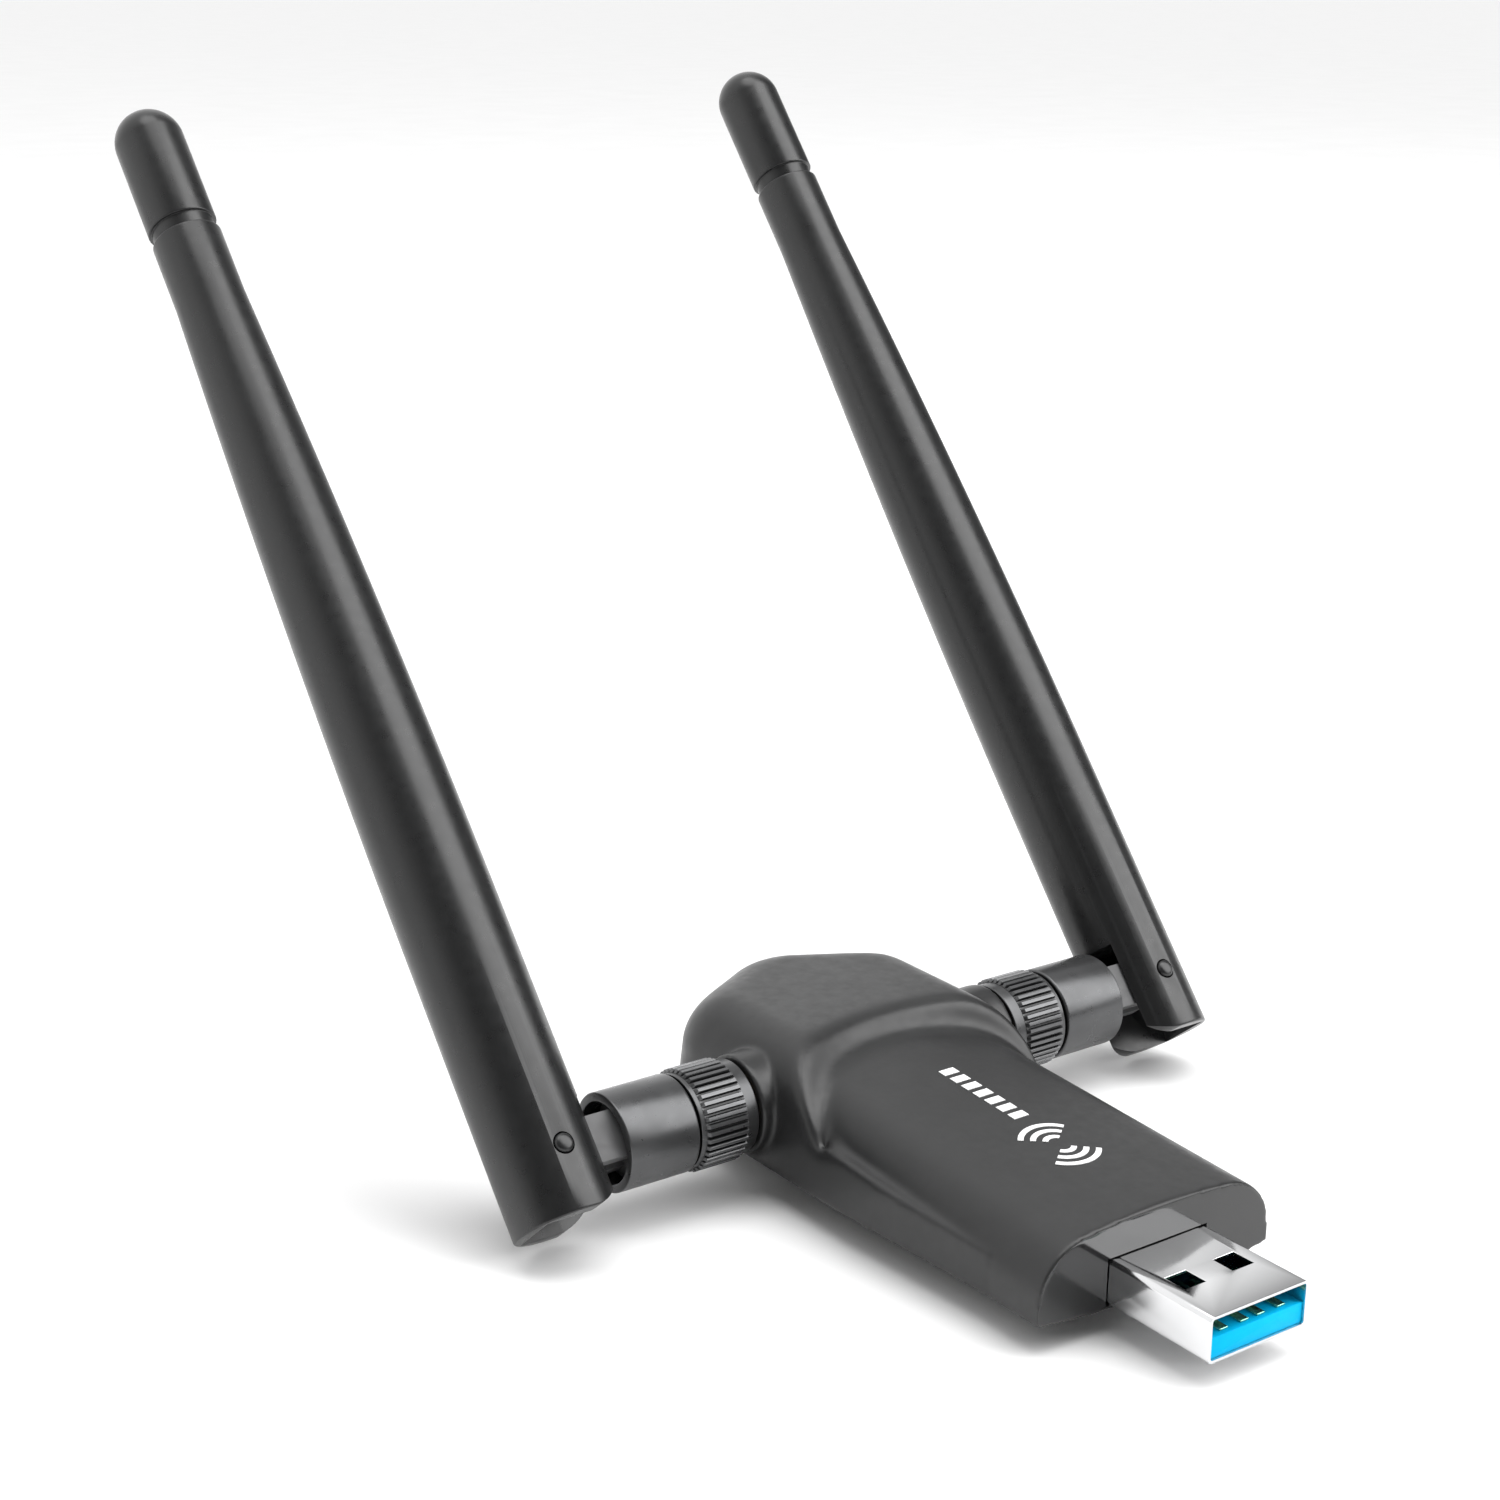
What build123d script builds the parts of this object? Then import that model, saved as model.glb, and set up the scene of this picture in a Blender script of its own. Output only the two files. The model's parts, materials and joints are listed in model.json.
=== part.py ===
from build123d import *
import os
from math import cos, pi, radians, sin, sqrt, tan

# Two-antenna USB wireless adapter, in millimetres.
# Origin: centre of the plug's cross-section where it leaves the housing's front face.
# X runs to the right antenna, Y from the plug into the housing, Z up.

# ---- overall sizes
plug_width = 12.0
plug_height = 4.5
plug_exposed = 12.5
housing_length = 63.0
front_half_width = 14.2
front_top = 5.95
dome_half_width = 13.1
block_half_width = 15.2
block_top = 10.5
belly_bottom = -2.95
belly_radius = 101.0
wall = 1.3
right_antenna_lean_deg = 39.5
left_antenna_lean_deg = 41.4
jack_thread_radius = 3.175
whip_base_radius = 5.26
whip_tip_radius = 3.72
cap_tip = 121.0

# ---- helping sizes: how far a cutting tool runs past a face, and a length beyond every part
over = 1.0
far = 80.0
bezier_quarter = 0.5523

# ---- housing shape
dome_top = block_top - 1.6
dome_end_y = housing_length - 17.0
front_shoulder = 5.5
front_crown = 0.45
block_shoulder = 5.8
block_side_lean_deg = 4.5
block_back_lean_share = 0.6
block_widest_z = -1.0
block_back_bulge = 1.4
block_corner_radius = 9.8
block_front_centre_y = housing_length - 23.0
block_front_side_y = housing_length - 27.5
block_front_margin = 9.0
step_slope = 0.55
skirt_start_y = 7.0
skirt_end_y = block_front_side_y - 5.0
skirt_low_z = 2.3
skirt_high_z = 3.7
skirt_spread = 0.3
skirt_tuck = 0.15
form_floor = -5.0
cover_thickness = 1.2
cover_gap = 0.08

# ---- plug
shell_sheet = 0.3
shell_corner = 0.55
plug_inside = 6.2
window_size_x = 2.6
window_size_y = 2.5
window_centre_x = 0.246 * plug_width
window_centre_y = -0.508 * plug_exposed
tongue_setback = 0.25
liner_gap = 0.02
cavity_depth = 0.704 * plug_exposed
contact_sheet = 0.2
usb2_contact_width = 1.0
usb2_contact_length = 0.416 * plug_exposed
usb2_contact_setback = 0.5
usb2_outer_x = plug_width * 7 / 24
usb2_inner_x = plug_width / 12
superspeed_contact_width = 0.6
superspeed_contact_length = 1.3
superspeed_spacing = 0.192 * plug_width
superspeed_front_y = -0.448 * plug_exposed
contact_tail_reach = 2.2
contact_tail_width = 0.5
tab_end_y = 9.0
tab_margin_low = 0.75
tab_margin_high = 1.45
tab_overlap = 0.2
pocket_gap = 0.1

# ---- antenna connectors: centre line, and stations along X from the block's side outwards
connector_y = housing_length - 20.4
connector_z = (block_top + belly_bottom) / 2 - 0.075
boss_start = block_half_width - 2.9
boss_end = block_half_width + 1.0
jack_tail = boss_start - 2.9
jack_end = boss_end + 5.2
nose_start = boss_end + 1.5
collar_start = boss_end + 0.4
ferrule_flange_start = jack_end + 0.3
ferrule_flange_end = ferrule_flange_start + 0.85
lip_start = ferrule_flange_end + 0.1
collar_end = lip_start + 0.65
sleeve_start = collar_end + 0.3
sleeve_end = sleeve_start + 7.9
sleeve_web = 3.3
swivel_ring_thickness = 0.8
swivel_ring_start = sleeve_start + sleeve_web + 0.1
fork_disc_start = swivel_ring_start + swivel_ring_thickness + 0.5
fork_disc_thickness = 1.2
neck_end = fork_disc_start - 0.35
hinge_clearance = 0.3
ear_sweep_radius = whip_base_radius + 1.24
pivot_x = sleeve_end + ear_sweep_radius + hinge_clearance

# ---- circuit board
board_thickness = 1.0
board_bottom = -0.95
board_front_y = 6.8
board_rear_y = housing_length - 5.5
board_half_width = dome_half_width - wall - 0.9
board_edge_gap = 0.4
board_waist_half_width = jack_tail - 1.8
board_waist_half_length = 6.0
post_radius = 1.3
peg_radius = 0.6
peg_length = 3.2
peg_root = 0.5
peg_hole_gap = 0.1
post_x = board_half_width - 2.3
post_front_y = 12.0
post_rear_y = board_rear_y - 4.0

# ---- board parts
passive_length = 1.6
passive_width = 0.8
passive_height = 0.6
passive_front_y = board_front_y + 0.17 * (board_rear_y - board_front_y)
passive_rear_y = board_rear_y - 7.0
passive_first_x = -3.5
passive_step = 2.0
passives_per_row = 4
socket_size = 2.6
socket_base_height = 0.4
socket_ring_radius = 1.0
socket_plug_radius = 1.35
socket_ring_hole = 0.7
socket_height = 1.2
socket_x = jack_tail - 4.8
socket_y = connector_y - 7.6
can_width = 15.0
can_front_y = passive_front_y + 2.8
can_rear_y = socket_y - 3.25
can_height = 1.9
can_sheet = 0.2
chip_share = 0.52
chip_height = 0.85
crystal_width = 2.5
crystal_length = 3.2
crystal_height = 0.7
crystal_x = 5.2
crystal_y = passive_front_y - 2.4
memory_size = 4.0
memory_height = 0.8
memory_y = board_rear_y - 11.5
inductor_size = 3.0
inductor_height = 1.4
inductor_x = -4.8
inductor_y = passive_front_y - 3.2

# ---- antenna jack on each side
jack_bore = jack_thread_radius - 0.875
jack_hole_gap = 0.06
jack_flange_radius = jack_thread_radius + 1.125
jack_side_gap = 0.3
jack_flange_thickness = 1.1
jack_insulator_end = boss_end + 1.2
jack_pin_radius = 0.46
jack_pin_end = jack_end - 1.0
jack_nut_thickness = 1.45
jack_nut_flats = 2 * jack_thread_radius + 0.65
nut_recess_radius = jack_nut_flats / sqrt(3) + 0.16
nut_recess_depth = 1.6
pigtail_radius = 0.57
pigtail_bend_share = 0.45

# ---- antenna connector
nose_gap = 0.05
running_gap = 0.06
collar_bore = jack_thread_radius + 0.075
collar_ring_length = 1.3
collar_rim_length = 0.5
collar_ring_radius = collar_bore + 1.5
knurl_radius = collar_bore + 1.9
knurl_depth = 0.3
knurl_teeth = 42
tooth_share = 0.28
boss_radius = knurl_radius - 0.15
ferrule_flange_radius = collar_bore - 0.15
neck_radius = ferrule_flange_radius - 0.5
ferrule_bore = neck_radius - 1.0
socket_pin_start = nose_start + 0.2
socket_pin_end = ferrule_flange_end - 0.5
socket_pin_radius = 0.8
socket_pin_bore = 0.5
socket_pin_depth_gap = 0.4
plug_insulator_start = socket_pin_start + 0.3
lead_reach = fork_disc_start + 4.2
lead_gap = 0.15
sleeve_radius = knurl_radius - 0.23
sleeve_bore = sleeve_radius - 0.87
sleeve_chamfer = 0.2
swivel_ring_radius = sleeve_bore - 0.55
fork_gap = 0.02
lug_inner = 0.309 * sleeve_bore
lug_thickness = 0.444 * sleeve_bore
lug_half_height = 0.58 * sleeve_bore
pivot_pin_radius = 0.95
pin_head_rise = 0.35
pin_edge_radius = 0.3
pin_inner_gap = 0.1

# ---- antenna whip, lengths measured from the pivot
whip_base_length = 6.4
whip_straight_length = 22.0
whip_tube_end = cap_tip - 16.1
whip_taper_end = whip_tube_end - 7.9
whip_taper_hold = 0.48
whip_wall = 1.25
channel_half_width = lug_inner + lug_thickness + 0.25
channel_top = 4.6
channel_outer_wall = 1.7
cavity_start = 8.2
cap_radius = whip_tip_radius - 0.02
neck_groove_radius = cap_radius - 0.35
neck_groove_length = 1.4
spigot_start = whip_tube_end - 6.4
spigot_gap = 0.03
radiator_coax_radius = 0.95
radiator_coax_start = channel_top + 0.4
radiator_sleeve_radius = 2.0
radiator_sleeve_start = whip_straight_length + 10.0
radiator_sleeve_end = radiator_sleeve_start + 28.0
radiator_coax_end = radiator_sleeve_end - 2.0
radiator_rod_radius = 0.55
radiator_rod_end = spigot_start + 3.0

# ---- printed sign on the top: two groups of arcs that face each other, then a row of dashes
ink_thickness = 0.06
sign_x = -0.3
sign_y = 13.0
arc_group_gap = 0.65
arc_width = 0.55
arc_first_radius = 1.1
arc_step = 1.15
arcs_per_group = 3
arc_half_angle_deg = 52.0
dash_first_y = 18.8
dash_pitch = 1.7
dash_thickness = 1.05
dash_low_x = -0.75
dash_high_x = 1.05
dashes = 7

board_top = board_bottom + board_thickness
os.makedirs("parts", exist_ok=True)


def box(x0, x1, y0, y1, z0, z1):
    return Pos((x0 + x1) / 2, (y0 + y1) / 2, (z0 + z1) / 2) * Box(x1 - x0, y1 - y0, z1 - z0)


def rod_x(radius, x0, x1, y=connector_y, z=connector_z):
    return Pos((x0 + x1) / 2, y, z) * Rot(0, 90, 0) * Cylinder(radius, x1 - x0)


def rod_z(radius, z0, z1, x=0.0, y=0.0):
    return Pos(x, y, (z0 + z1) / 2) * Cylinder(radius, z1 - z0)


def whole(shape):
    solids = shape.solids()
    return solids[0] if len(solids) == 1 else Compound(children=solids)


def arched_outline(at, half, low, high, shoulder, crown):
    """Closed outline: straight foot and sides, round shoulders and a slightly bulged far edge."""
    reach = half - shoulder
    rim = high - crown
    pull = bezier_quarter * shoulder
    slope = 2 * crown / reach
    right = Edge.make_bezier(
        at(half, rim - shoulder),
        at(half, rim - shoulder + pull),
        at(reach + pull, rim - pull * slope),
        at(reach, rim),
    )
    left = Edge.make_bezier(
        at(-reach, rim),
        at(-reach - pull, rim - pull * slope),
        at(-half, rim - shoulder + pull),
        at(-half, rim - shoulder),
    )
    bulge = Edge.make_three_point_arc(at(reach, rim), at(0, high), at(-reach, rim))
    foot = Edge.make_line(at(-half, low), at(half, low))
    right_side = Edge.make_line(at(half, low), at(half, rim - shoulder))
    left_side = Edge.make_line(at(-half, rim - shoulder), at(-half, low))
    return Wire([foot, right_side, right, bulge, left, left_side])


def front_form(inset, y0):
    """The long front part, shrunk on every side by inset and starting at y0."""
    slope_top = (dome_top - front_top) / dome_end_y
    slope_width = (dome_half_width - front_half_width) / dome_end_y
    sections = []
    for y in (y0, dome_end_y):
        half = front_half_width + slope_width * y - inset
        top = front_top + slope_top * y - inset
        level = y
        sections.append(arched_outline(
            lambda u, v: Vector(u, level, v),
            half,
            form_floor,
            top,
            front_shoulder - inset,
            front_crown,
        ))
    return Solid.make_loft(sections, True)


def block_prism(inset, start):
    """Leaning sides and bulged back of the rear block, carried forward to start."""
    lean = tan(radians(block_side_lean_deg))
    outlines = []
    for z in (form_floor, block_top - inset):
        shift = (z - block_widest_z) * lean
        level = z
        outlines.append(arched_outline(
            lambda u, v: Vector(u, v, level),
            block_half_width - inset - shift,
            start,
            housing_length - inset - shift * block_back_lean_share,
            block_corner_radius - inset,
            block_back_bulge,
        ))
    return Solid.make_loft(outlines, True)


def rear_form(inset):
    """The wide rear block: leaning sides, round back, rounded top edge and a sloping arched front."""
    start = block_front_side_y - block_front_margin
    solid = block_prism(inset, start)
    top_face = solid.faces().sort_by(Axis.Z)[-1]
    front_edge = top_face.edges().sort_by(Axis.Y)[0]
    top_edges = [edge for edge in top_face.edges() if edge.center().Y > front_edge.center().Y + over]
    solid = fillet(top_edges, block_shoulder - inset)
    sag = block_front_centre_y - block_front_side_y
    arch_radius = (block_half_width**2 + sag**2) / (2 * sag)
    spread = 2 * block_top * step_slope
    arch = Pos(0, block_front_centre_y - arch_radius + inset, block_top) * Cone(
        arch_radius - spread, arch_radius + spread, 4 * block_top
    )
    return solid - arch - box(-far, far, -far, start + over, -far, far)


def skirt_form(inset):
    """Low shelf that carries the block's sides forward and fades into the front part."""
    end_half = block_half_width + skirt_spread - inset
    start_half = front_half_width - skirt_tuck - inset
    plan = Polyline(
        (-start_half, skirt_start_y),
        (start_half, skirt_start_y),
        (end_half, skirt_end_y),
        (-end_half, skirt_end_y),
        close=True,
    )
    solid = extrude(Pos(0, 0, form_floor) * make_face(plan), amount=far)
    side = Plane.YZ * Polyline(
        (skirt_start_y - over, form_floor - over),
        (skirt_end_y + over, form_floor - over),
        (skirt_end_y + over, skirt_high_z - inset),
        (skirt_start_y - over, skirt_low_z - inset),
        close=True,
    )
    return solid & extrude(make_face(side), amount=far, both=True) & block_prism(inset, -far)


def belly(raise_by=0.0):
    """Everything above the gently rounded underside."""
    radius = belly_radius - raise_by
    return Pos(0, 0, belly_bottom + belly_radius) * Rot(90, 0, 0) * Cylinder(radius, 4 * far)


def housing_form(inset, y0=0.0):
    """Outside shape of the closed housing, or the same shape drawn in by inset."""
    return (front_form(inset, y0) & block_prism(inset, -far)) + rear_form(inset) + skirt_form(inset)


def save(shape, name):
    export_step(whole(shape), f"parts/{name}.step")


def mirrored(shape):
    return mirror(shape, about=Plane.YZ)


def at_board_posts(make):
    spots = [(x, y) for x in (-post_x, post_x) for y in (post_front_y, post_rear_y)]
    shapes = [make(x, y) for x, y in spots]
    joined = shapes[0]
    for shape in shapes[1:]:
        joined += shape
    return joined


# ---- housing: a deep upper shell closed from below by a thin cover
above_belly = belly()
outer = housing_form(0.0) & above_belly
cavity = housing_form(wall, wall)
pocket = box(
    -plug_width / 2 - pocket_gap, plug_width / 2 + pocket_gap,
    -over, plug_inside + 3 * pocket_gap,
    -plug_height / 2 - pocket_gap, plug_height / 2 + pocket_gap,
)
boss = rod_x(boss_radius, boss_start, boss_end)
nut_start = boss_end - nut_recess_depth
jack_cut = (
    rod_x(jack_thread_radius + jack_hole_gap, jack_tail, boss_end + over)
    + rod_x(nut_recess_radius, nut_start, boss_end + over)
    + rod_x(jack_flange_radius + pocket_gap, jack_tail, boss_start)
)
ceiling_posts = at_board_posts(lambda x, y: rod_z(post_radius, board_top, block_top, x, y))
ceiling_posts -= at_board_posts(lambda x, y: rod_z(peg_radius, board_top, board_top + peg_length, x, y))
upper = outer - cavity + (ceiling_posts & outer) + boss + mirrored(boss)
upper = upper - pocket - jack_cut - mirrored(jack_cut)
save(upper, "upper_housing")

plate = (housing_form(wall + cover_gap, wall + cover_gap) & above_belly) - belly(cover_thickness)
floor_posts = at_board_posts(lambda x, y: rod_z(post_radius, form_floor, board_bottom, x, y)) & above_belly
pegs = at_board_posts(
    lambda x, y: rod_z(peg_radius, board_bottom - peg_root, board_top + peg_length, x, y)
)
boss_notch = rod_x(boss_radius + 2 * cover_gap, boss_start - cover_gap, boss_end)
jack_notch = rod_x(jack_flange_radius + jack_side_gap, jack_tail - jack_side_gap, boss_start)
tab_pocket = box(
    -plug_width / 2 - pocket_gap, plug_width / 2 + pocket_gap,
    0, tab_end_y + pocket_gap,
    -plug_height / 2 + tab_margin_low - pocket_gap, block_top,
)
notches = boss_notch + jack_notch
plate = plate - pocket - tab_pocket - notches - mirrored(notches)
save(plate + floor_posts + pegs, "bottom_cover")

# ---- USB plug
half_w = plug_width / 2
half_h = plug_height / 2
shell_outline = RectangleRounded(plug_width, plug_height, shell_corner)
inner_corner = shell_corner - shell_sheet
shell_hole = RectangleRounded(plug_width - 2 * shell_sheet, plug_height - 2 * shell_sheet, inner_corner)
at_plug = Pos(0, plug_inside, 0) * Rot(90, 0, 0)
shell = at_plug * extrude(shell_outline - shell_hole, plug_exposed + plug_inside)
window = Box(window_size_x, window_size_y, plug_height + over)
for side in (-1, 1):
    shell -= Pos(side * window_centre_x, window_centre_y, 0) * window
tab = box(
    half_w - shell_sheet, half_w,
    plug_inside - tab_overlap, tab_end_y,
    -half_h + tab_margin_low, half_h - tab_margin_high,
)
save(shell + tab + mirrored(tab), "usb_plug_shell")

inner_half_w = half_w - shell_sheet - liner_gap
inner_half_h = half_h - shell_sheet - liner_gap
front_y = -plug_exposed + tongue_setback
tail_end_y = board_front_y + contact_tail_reach


def usb2_contact(x):
    pad = box(
        x - usb2_contact_width / 2, x + usb2_contact_width / 2,
        front_y + usb2_contact_setback, front_y + usb2_contact_setback + usb2_contact_length,
        board_top, board_top + contact_sheet,
    )
    tail = box(
        x - contact_tail_width / 2, x + contact_tail_width / 2,
        front_y + usb2_contact_setback + usb2_contact_length, tail_end_y,
        board_top, board_top + contact_sheet,
    )
    return pad + tail


def superspeed_contact(x):
    low = x - superspeed_contact_width / 2
    high = x + superspeed_contact_width / 2
    y0 = superspeed_front_y
    y1 = superspeed_front_y + superspeed_contact_length
    bump = box(low, high, y0, y1, board_top, board_top + 2 * contact_sheet)
    drop = box(low, high, y1 - contact_sheet, y1, board_bottom - contact_sheet, board_top)
    tail = box(low, high, y1 - contact_sheet, tail_end_y, board_bottom - contact_sheet, board_bottom)
    return bump + drop + tail


usb2_contacts = [
    usb2_contact(x)
    for x in (-usb2_outer_x, -usb2_inner_x, usb2_inner_x, usb2_outer_x)
]
superspeed_contacts = [superspeed_contact(superspeed_spacing * i) for i in (-2, -1, 0, 1, 2)]
insulator = box(-inner_half_w, inner_half_w, front_y, plug_inside, -inner_half_h, board_top)
insulator += box(
    -inner_half_w, inner_half_w, front_y + cavity_depth, plug_inside, -inner_half_h, inner_half_h
)
lining = RectangleRounded(2 * inner_half_w, 2 * inner_half_h, inner_corner)
insulator = insulator & (at_plug * extrude(lining, plug_exposed + plug_inside))
for contact in usb2_contacts + superspeed_contacts:
    insulator -= contact
save(insulator, "usb_plug_insulator")
save(Compound(children=usb2_contacts), "usb2_contacts")
save(Compound(children=superspeed_contacts), "superspeed_contacts")

# ---- circuit board and what is soldered to it
board = box(-board_half_width, board_half_width, board_front_y, board_rear_y, board_bottom, board_top)
board = board & housing_form(wall + board_edge_gap, wall)
notch = box(
    board_waist_half_width, far,
    connector_y - board_waist_half_length, connector_y + board_waist_half_length,
    board_bottom - over, board_top + over,
)
tab_slot = box(
    half_w - shell_sheet - peg_hole_gap, half_w + peg_hole_gap,
    board_front_y - over, tab_end_y + peg_hole_gap,
    board_bottom - over, board_top + over,
)
for cut in (notch, tab_slot):
    board = board - cut - mirrored(cut)
board -= at_board_posts(
    lambda x, y: rod_z(peg_radius + peg_hole_gap, board_bottom - over, board_top + over, x, y)
)
save(board, "circuit_board")


def on_board(width, length, height, x, y):
    return box(x - width / 2, x + width / 2, y - length / 2, y + length / 2, board_top, board_top + height)


can_length = can_rear_y - can_front_y
can_centre_y = (can_rear_y + can_front_y) / 2
can_hollow = on_board(
    can_width - 2 * can_sheet, can_length - 2 * can_sheet, can_height - can_sheet, 0, can_centre_y
)
save(on_board(can_width, can_length, can_height, 0, can_centre_y) - can_hollow, "shield_can")
chip_size = chip_share * can_length
save(on_board(chip_size, chip_size, chip_height, 0, can_centre_y), "radio_chip")
save(on_board(crystal_width, crystal_length, crystal_height, crystal_x, crystal_y), "crystal")
save(on_board(memory_size, memory_size, memory_height, 0, memory_y), "memory_chip")
inductor = on_board(inductor_size, inductor_size, inductor_height, inductor_x, inductor_y)
save(inductor, "power_inductor")
passives = [
    on_board(passive_width, passive_length, passive_height, passive_first_x + passive_step * i, y)
    for y in (passive_front_y, passive_rear_y)
    for i in range(passives_per_row)
]
save(Compound(children=passives), "chip_capacitors")


def coax_socket(x):
    base = on_board(socket_size, socket_size, socket_base_height, x, socket_y)
    ring = rod_z(socket_ring_radius, board_top, board_top + socket_height, x, socket_y)
    hole = rod_z(socket_ring_hole, board_top + socket_base_height, board_top + 2 * socket_height, x, socket_y)
    return base + ring - hole


save(Compound(children=[coax_socket(-socket_x), coax_socket(socket_x)]), "coax_sockets")

# ---- antenna jack, right-hand side
jack = rod_x(jack_thread_radius, jack_tail, jack_end)
jack += rod_x(jack_flange_radius, boss_start - jack_flange_thickness, boss_start)
jack -= rod_x(jack_bore, jack_tail - over, jack_end + over)
jack_insulator = rod_x(jack_bore, jack_tail, jack_insulator_end)
jack_insulator -= rod_x(jack_pin_radius, jack_tail - over, jack_end)
jack_pin = rod_x(jack_pin_radius, jack_tail, jack_pin_end)
hexagon = RegularPolygon(jack_nut_flats / 2, 6, major_radius=False) - Circle(jack_thread_radius)
jack_nut = Pos(nut_start, connector_y, connector_z) * Rot(0, 90, 0) * extrude(hexagon, jack_nut_thickness)

plug_top = board_top + socket_height + pigtail_radius
socket_top = board_top + socket_height
coax_plug = rod_z(socket_plug_radius, socket_top, plug_top + pigtail_radius, socket_x, socket_y)
coax_plug += rod_z(socket_ring_hole, board_top + socket_base_height, socket_top, socket_x, socket_y)
lead_start = Vector(socket_x, socket_y + socket_plug_radius, plug_top)
lead_corner = Vector(socket_x, connector_y, connector_z)
lead_end = Vector(jack_tail, connector_y, connector_z)
lead_bend = pigtail_bend_share * (lead_end - lead_corner).length
lead_path = FilletPolyline(lead_start, lead_corner, lead_end, radius=lead_bend)
lead_plane = Plane(origin=lead_start, z_dir=lead_corner - lead_start)
pigtail = sweep(lead_plane * Circle(pigtail_radius), path=lead_path) - coax_plug

# ---- antenna connector, right-hand side
ferrule = rod_x(jack_bore - nose_gap, nose_start, ferrule_flange_start)
ferrule += rod_x(ferrule_flange_radius, ferrule_flange_start, ferrule_flange_end)
ferrule += rod_x(neck_radius, ferrule_flange_end, neck_end)
ferrule -= rod_x(ferrule_bore, nose_start - over, neck_end + over)
socket_pin = rod_x(socket_pin_radius, socket_pin_start, socket_pin_end)
socket_pin -= rod_x(socket_pin_bore, socket_pin_start - over, jack_pin_end + socket_pin_depth_gap)
plug_insulator = rod_x(ferrule_bore, plug_insulator_start, ferrule_flange_end)
plug_insulator -= rod_x(socket_pin_radius, nose_start, socket_pin_end)
antenna_lead = rod_x(radiator_coax_radius, ferrule_flange_end, lead_reach)
swivel_ring = rod_x(swivel_ring_radius, swivel_ring_start, swivel_ring_start + swivel_ring_thickness)
swivel_ring -= rod_x(neck_radius, sleeve_start, neck_end + over)


def knurl_outline():
    points = []
    for i in range(2 * knurl_teeth):
        middle = pi * i / knurl_teeth
        radius = knurl_radius if i % 2 == 0 else knurl_radius - knurl_depth
        for share in (-tooth_share, tooth_share):
            angle = middle + share * pi / knurl_teeth
            points.append((radius * cos(angle), radius * sin(angle)))
    return make_face(Polyline(*points, close=True))


knurl_start = collar_start + collar_ring_length
knurl_end = collar_end - collar_rim_length
at_knurl = Pos(knurl_start, connector_y, connector_z) * Rot(0, 90, 0)
collar = at_knurl * extrude(knurl_outline(), knurl_end - knurl_start)
collar += rod_x(collar_ring_radius, collar_start, collar_end)
collar -= rod_x(collar_bore, collar_start - over, lip_start)
collar -= rod_x(neck_radius + running_gap, lip_start - over, collar_end + over)

sleeve = chamfer(rod_x(sleeve_radius, sleeve_start, sleeve_end).edges(), sleeve_chamfer)
sleeve -= rod_x(neck_radius + running_gap, sleeve_start - over, sleeve_end)
sleeve -= rod_x(sleeve_bore, sleeve_start + sleeve_web, sleeve_end + over)


def leaning(shape, lean_deg):
    return Pos(pivot_x, connector_y, connector_z) * Rot(-lean_deg, 0, 0) * shape


def pivot_rod(radius, y0, y1):
    return Pos(0, (y0 + y1) / 2, 0) * Rot(90, 0, 0) * Cylinder(radius, y1 - y0)


# local frame of the swivelling end: X outward, Y along the pivot pins, Z along the whip
disc_x0 = fork_disc_start - pivot_x
disc_x1 = disc_x0 + fork_disc_thickness
fork = rod_x(sleeve_bore - fork_gap, disc_x0, disc_x1, 0, 0)
fork -= rod_x(radiator_coax_radius + lead_gap, disc_x0 - over, disc_x1 + over, 0, 0)
lug = box(
    disc_x1 - fork_gap, 0, lug_inner, lug_inner + lug_thickness, -lug_half_height, lug_half_height
)
lug += pivot_rod(lug_half_height, lug_inner, lug_inner + lug_thickness)
fork = fork + lug + mirror(lug, about=Plane.XZ)
fork -= pivot_rod(pivot_pin_radius + running_gap, -whip_base_radius, whip_base_radius)


def turned_whip(thinner, base_z, top_z):
    """Whip turned about Z: a straight base, a curved taper and a straight top, thinner all round."""
    base_r = whip_base_radius - thinner
    top_r = whip_tip_radius - thinner
    held_z = whip_straight_length + whip_taper_hold * (whip_taper_end - whip_straight_length)
    with BuildPart() as result:
        with BuildSketch(Plane.XZ):
            with BuildLine():
                Line((0, base_z), (base_r, base_z))
                Line((base_r, base_z), (base_r, whip_straight_length))
                Bezier((base_r, whip_straight_length), (base_r, held_z), (top_r, whip_taper_end))
                Line((top_r, whip_taper_end), (top_r, top_z))
                Line((top_r, top_z), (0, top_z))
                Line((0, top_z), (0, base_z))
            make_face()
        revolve(axis=Axis.Z)
    return result.part


whip = turned_whip(0, -whip_base_length, whip_tube_end)
whip -= turned_whip(whip_wall, cavity_start, whip_tube_end + over)
side_reach = whip_base_radius + over
low_reach = -whip_base_length - over
channel_x = whip_base_radius - channel_outer_wall
whip -= box(-side_reach, channel_x, -channel_half_width, channel_half_width, low_reach, channel_top)
corner = box(-side_reach, 0, -side_reach, side_reach, low_reach, 0)
whip -= corner - pivot_rod(ear_sweep_radius, -side_reach - over, side_reach + over)
whip -= pivot_rod(pivot_pin_radius, -side_reach, side_reach)
whip -= rod_z(radiator_coax_radius, channel_top - over, cavity_start + over)

pin = pivot_rod(pivot_pin_radius, -whip_base_radius - pin_head_rise, -lug_inner - pin_inner_gap)
pin = fillet(pin.edges().sort_by(Axis.Y)[0], pin_edge_radius)
pins = Compound(children=[pin, mirror(pin, about=Plane.XZ)])

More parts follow.
